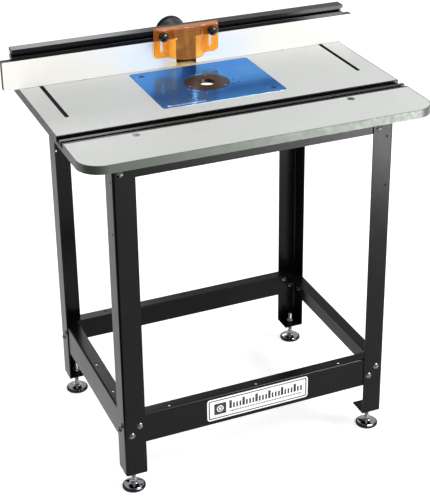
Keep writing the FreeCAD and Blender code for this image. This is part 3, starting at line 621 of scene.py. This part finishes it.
def guard_knobs():
    """Domed push-on knobs with a fluted waist and a fine rim, facing the user."""
    bore, eased = 3.225 * MM, 1.1 * MM
    flutes, flute_depth, points = 24, 0.35 * MM, 120
    for side in SIDES:
        node = f"guard_knob_{side}"
        low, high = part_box(node)
        length = high.y - low.y
        radius = (high.x - low.x) / 2
        inside = [(bore, 0.72 * length), (bore, 0.0), (0.58 * radius, 0.0), (0.64 * radius, 0.24 * length)]
        waist = [(0.95 * radius, 0.27 * length), (radius, 0.32 * length), (0.97 * radius, 0.64 * length)]
        rim = [(0.90 * radius, 0.68 * length), (0.90 * radius, 0.72 * length)]
        dome = [(0.80 * radius, 0.84 * length), (0.58 * radius, 0.94 * length),
                (0.28 * radius, 0.99 * length), (0.03 * radius, length)]
        place = facing(((low.x + high.x) / 2, high.y, (low.z + high.z) / 2), (0, -1, 0))
        shape = Shape(KNOB_PLASTIC)
        shape.turn(rounded(inside + waist + rim + dome, eased), place,
                   fluted(flutes, 0.93 * radius, flute_depth), points)
        shape.piece(f"domed_{node}", node, "knob_plastic", node)


def hex_profile(across_flats, start, end, bore):
    """A hexagon's full corners with both ends chamfered to a circle inside the flats."""
    full, low_circle, chamfer = 0.58 * across_flats, 0.48 * across_flats, 0.09 * across_flats
    return [(bore, end), (bore, start), (low_circle, start), (full, start + chamfer),
            (full, end - chamfer), (low_circle, end), (bore, end)]


STEM_RADIUS = 5 * MM
HEX_POINTS = 72


def upright(node):
    """A place on the floor under the middle of a CAD node."""
    low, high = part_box(node)
    return Matrix.Translation(((low.x + high.x) / 2, (low.y + high.y) / 2, 0))


def foot_pad(pad):
    """A pale sole, a rolled rim in darkened chrome that paints in the dark reflection of its surroundings,
    and a bright cup round the end of the stem.
    """
    bright, pale, dark = 0, 1, 2
    sole_height = 2 * MM
    low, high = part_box(pad)
    radius, height = (high.x - low.x) / 2, high.z - low.z
    place = upright(pad)
    shape = Shape(CHROME_STEEL, SOLE_PLASTIC, PAINTED_REFLECTION_RIM_STEEL)
    sole = [(0.3 * radius, 0.2 * MM), (0.86 * radius, 0.0), (0.95 * radius, 0.5 * MM),
            (0.96 * radius, sole_height), (0.5 * radius, sole_height)]
    shape.turn(rounded(sole, 0.4 * MM), place, band=pale)
    # The rim takes the darkened chrome, a painted dark reflection.
    rim = [(0.5 * radius, sole_height), (0.97 * radius, sole_height), (radius, 0.18 * height),
           (radius, 0.34 * height), (0.95 * radius, 0.50 * height), (0.84 * radius, 0.62 * height),
           (0.5 * radius, 0.62 * height)]
    shape.turn(rounded(rim, 1.2 * MM, 6), place, band=dark)
    cup = [(0.9 * STEM_RADIUS, 0.6 * height), (0.85 * radius, 0.60 * height),
           (0.82 * radius, 0.66 * height), (0.62 * radius, 0.79 * height), (0.42 * radius, 0.88 * height),
           (0.36 * radius, 0.91 * height), (0.33 * radius, height), (1.12 * STEM_RADIUS, height),
           (1.05 * STEM_RADIUS, 0.8 * height)]
    shape.turn(rounded(cup, 2.0 * MM, 6), place, band=bright)
    shape.piece(f"cup_{pad}", pad, "chrome_steel", pad)


def foot_stem(stem, place):
    """A threaded rod with a hexagon collar for the spanner."""
    thread_pitch, thread_depth, rod_points = 1.5 * MM, 0.8 * MM, 24
    tip_radius, tip_length = 0.7 * STEM_RADIUS, 0.8 * MM
    collar_start, collar_height, collar_flats = 16 * MM, 7 * MM, 13 * MM
    low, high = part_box(stem)
    rod = [(tip_radius, low.z)] + ridges(STEM_RADIUS, low.z + tip_length, high.z - tip_length)
    rod += [(tip_radius, high.z)]
    shape = Shape(ZINC_STEEL)
    shape.turn(rod, place, threaded(thread_pitch, thread_depth), rod_points)
    collar = hex_profile(collar_flats, collar_start, collar_start + collar_height, 0.9 * STEM_RADIUS)
    shape.turn(collar, place, hexagonal(collar_flats), HEX_POINTS)
    shape.piece(f"threaded_{stem}", stem, "zinc_steel", stem)


def levelling_feet():
    for end in ENDS:
        for side in SIDES:
            pad = f"foot_pad_{end}_{side}"
            foot_pad(pad)
            foot_stem(f"foot_stem_{end}_{side}", upright(pad))


def lock_nuts():
    """The four hexagon nuts that lock the feet against the plates in the legs."""
    flats, height, bore = 17 * MM, 8 * MM, 5.05 * MM
    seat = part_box("foot_lock_nuts")[0].z
    shape = Shape(ZINC_STEEL)
    for end in ENDS:
        for side in SIDES:
            place = upright(f"foot_stem_{end}_{side}")
            shape.turn(hex_profile(flats, seat, seat + height, bore), place, hexagonal(flats), HEX_POINTS)
    shape.piece("chamfered_lock_nuts", "table", "zinc_steel", "foot_lock_nuts")


WHITE, BLACK = 0, 1


def badge_panel(shape, place, half_width, half_height, thick):
    """The rounded white plate, with a black line sunk into it all round."""
    corner, tightest = 7 * MM, 1.5 * MM
    steps = [(0.0, 0.0), (0.0, 0.8), (0.4, 1.0), (3.4, 1.0), (3.5, 0.85), (6.3, 0.85), (6.4, 0.95)]
    strips = [WHITE, WHITE, WHITE, BLACK, BLACK, WHITE]
    rings = []
    for inset, level in steps:
        inset = inset * MM
        rings.append(outline_rounded(half_width - inset, half_height - inset,
                                     max(corner - inset, tightest), level * thick))
    shape.loft(rings, place, strips)


def badge_target(shape, place, field, ink, thick):
    """A black square with a white ring and a white dot, at the badge's left end."""
    middle, half, corner = -96 * MM, 15 * MM, 3 * MM
    ring_outer, ring_inner, dot_radius, dot_middle = 8.4 * MM, 6.0 * MM, 3.2 * MM, 0.2 * MM
    square = [outline_rounded(half, half, corner, z) for z in (field, ink)]
    square = [[(x + middle, y, z) for x, y, z in ring] for ring in square]
    shape.loft(square, place, BLACK)
    target = place @ Matrix.Translation((middle, 0, 0))
    ring = [(ring_outer, field), (ring_outer, thick), (ring_inner, thick), (ring_inner, field)]
    shape.turn(ring, target, band=WHITE)
    shape.turn([(dot_radius, field), (dot_radius, thick), (dot_middle, thick)], target, band=WHITE)


def badge_ruler(shape, place, field, ink):
    """Ruler ticks, every fourth one longer, over a row of dots."""
    first, pitch, ticks, dots = -70 * MM, 8.2 * MM, 23, 45
    baseline, long_reach, short_reach = -6 * MM, 22 * MM, 14 * MM
    long_half, short_half, dot_half = 3.2 * MM, 2.3 * MM, 1.3 * MM
    dot_low, dot_high = baseline - 9 * MM, baseline - 5 * MM
    for tick in range(ticks):
        middle = first + tick * pitch
        longer = tick % 4 == 0
        top = baseline + (long_reach if longer else short_reach)
        half = long_half if longer else short_half
        shape.bar(middle - half, middle + half, baseline, top, field, ink, place, BLACK)
    for dot in range(dots):
        middle = first + dot * pitch * (ticks - 1) / (dots - 1)
        shape.bar(middle - dot_half, middle + dot_half, dot_low, dot_high, field, ink, place, BLACK)


def badge():
    """The plate on the front stretcher, with plain marks in place of lettering."""
    low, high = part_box("badge_plate")
    half_width, half_height = (high.x - low.x) / 2, (high.z - low.z) / 2
    thick = high.y - low.y
    field, ink = 0.9 * thick, 0.99 * thick
    place = facing(((low.x + high.x) / 2, high.y, (low.z + high.z) / 2), (0, -1, 0))
    shape = Shape(BADGE_WHITE, BADGE_BLACK)
    badge_panel(shape, place, half_width, half_height, thick)
    badge_target(shape, place, field, ink, thick)
    badge_ruler(shape, place, field, ink)
    shape.piece("bordered_badge", "table", "badge_face", "badge_plate")


def plate_mark():
    """A small white row of ruler ticks printed at the front left corner of the router plate."""
    from_side, from_front, print_height = 14 * MM, 9 * MM, 0.04 * MM
    block_width, block_height = 7 * MM, 6 * MM
    first, pitch, ticks, tick_width = 9 * MM, 3.4 * MM, 24, 1.8 * MM
    long_reach, short_reach = 5 * MM, 3 * MM
    low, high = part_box("router_plate")
    place = Matrix.Translation((low.x + from_side, low.y + from_front, high.z))
    shape = Shape(BADGE_WHITE)
    shape.bar(0, block_width, 0, block_height, 0, print_height, place)
    for tick in range(ticks):
        start = first + tick * pitch
        reach = long_reach if tick % 4 == 0 else short_reach
        shape.bar(start, start + tick_width, 0, reach, 0, print_height, place)
    shape.piece("plate_mark", "table", "badge_face")


# ------------------------------------------------------------------ the studio

def card(name, material, x0, x1, y0, y1, height):
    """A flat sheet that belongs to the studio and not to the table."""
    corners = [(x0, y0, height), (x1, y0, height), (x1, y1, height), (x0, y1, height)]
    mesh = bpy.data.meshes.new(name)
    mesh.from_pydata(corners, [], [(0, 1, 2, 3)])
    mesh.materials.append(material)
    sheet = bpy.data.objects.new(name, mesh)
    bpy.context.scene.collection.objects.link(sheet)
    return sheet


def stage_floor():
    """A pale floor that glows a little, so that it nearly fades into the white around it."""
    half = 9.0
    finish = Finish("studio_floor", Roughness=0.9, Specular_IOR_Level=0.1,
                    Emission_Color=(1.0, 1.0, 1.0, 1.0), Emission_Strength=0.48)
    grain = finish.noise(3.0, 2.0)
    finish.colour(finish.ramp(grain, [(0.3, shade(246, 246, 246)), (0.7, shade(248, 248, 248))]))
    card("studio_floor", finish.material, -half, half, -half, half, 0)


def aim(thing, target):
    thing.rotation_euler = (Vector(target) - thing.location).to_track_quat("-Z", "Y").to_euler()


def softbox(name, location, target, width, height, watts):
    """An area light that faces its target."""
    light = bpy.data.lights.new(name, "AREA")
    light.shape = "RECTANGLE"
    light.size, light.size_y = width, height
    light.energy = watts
    lamp = bpy.data.objects.new(name, light)
    bpy.context.scene.collection.objects.link(lamp)
    lamp.location = location
    lamp.visible_camera = False
    aim(lamp, target)
    return lamp


def only_mirrored(lamp):
    """Leaves a light to be seen in glossy surfaces, without lighting the matt ones."""
    lamp.visible_diffuse = False
    lamp.visible_transmission = False


def reflector(name, x0, x1, y0, y1, watts):
    """A bright card lying face up on the floor."""
    x, y, above_floor = (x0 + x1) / 2, (y0 + y1) / 2, 0.02
    only_mirrored(softbox(name, (x, y, above_floor), (x, y, 1.0), x1 - x0, y1 - y0, watts))


def flag(name, x0, x1, y0, y1):
    """A black card on the floor beside the camera, that gives the folds of the legs their dark line."""
    above_floor = 0.015
    cloth = Finish(name, Roughness=0.9, Specular_IOR_Level=0.1)
    cloth.colour(cloth.ramp(cloth.noise(40.0), [(0.3, shade(4, 4, 4)), (0.7, shade(10, 10, 10))]))
    sheet = card(name, cloth.material, x0, x1, y0, y1, above_floor)
    sheet.visible_camera = False
    sheet.visible_shadow = False
    only_mirrored(sheet)


def world_light():
    """Even white light from all round."""
    world = bpy.data.worlds.new("studio")
    bpy.context.scene.world = world
    world.use_nodes = True
    background = world.node_tree.nodes["Background"]
    background.inputs["Color"].default_value = (1.0, 1.0, 1.0, 1.0)
    background.inputs["Strength"].default_value = 0.70


def studio():
    bpy.context.scene.view_settings.view_transform = "Standard"
    world_light()
    stage_floor()
    softbox("key", location=(2.35, -1.7, 2.65), target=(0.2, 0.0, 0.75), width=1.6, height=1.3, watts=80)
    spark = softbox("spark", location=(0.2, -3.2, 2.0), target=(0.0, 0.0, 0.6),
                    width=0.45, height=0.45, watts=9)
    only_mirrored(spark)
    front_fill = softbox("front_fill", location=(0.1, -2.6, 0.9), target=(0.1, 0.0, 0.9),
                         width=1.0, height=0.8, watts=8)
    front_fill.visible_glossy = False
    edge_light = softbox("edge_light", location=(1.15, -0.9, 2.75), target=(0.0, -0.2, 0.4),
                         width=0.6, height=1.7, watts=150)
    only_mirrored(edge_light)
    back_light = softbox("back_light", location=(0.4, 2.9, 2.0), target=(-0.3, 0.1, 0.9),
                         width=0.7, height=0.6, watts=5)
    only_mirrored(back_light)
    reflector("bright_card", x0=1.04, x1=2.4, y0=-2.8, y1=-1.45, watts=115)
    reflector("dim_card", x0=0.52, x1=1.04, y0=-2.6, y1=-1.5, watts=12)
    flag("front_flag", x0=-2.8, x1=-0.5, y0=-2.2, y1=0.0)
    flag("back_flag", x0=-1.8, x1=-0.9, y0=1.62, y1=2.8)


def camera():
    """Stands to the front left of the table, about a metre above its top, and looks down at it.

    Its place, turn and lens were fitted to the straight edges of the top and the stand.
    """
    yaw, pitch = math.radians(24.128), math.radians(-24.709)
    eye = bpy.data.cameras.new("camera")
    eye.lens = 95.75
    eye.sensor_width = 36.0
    eye.shift_x, eye.shift_y = -0.08, -0.15
    holder = bpy.data.objects.new("camera", eye)
    bpy.context.scene.collection.objects.link(holder)
    holder.location = (-1.0674, -2.607, 1.9371)
    holder.rotation_euler = (math.pi / 2 + pitch, 0.0, -yaw)
    bpy.context.scene.camera = holder


# ------------------------------------------------------------------- the build

dress_cad()
ease_cad()
clamp_knobs()
face_knobs()
guard_knobs()
levelling_feet()
lock_nuts()
badge()
plate_mark()
studio()
camera()
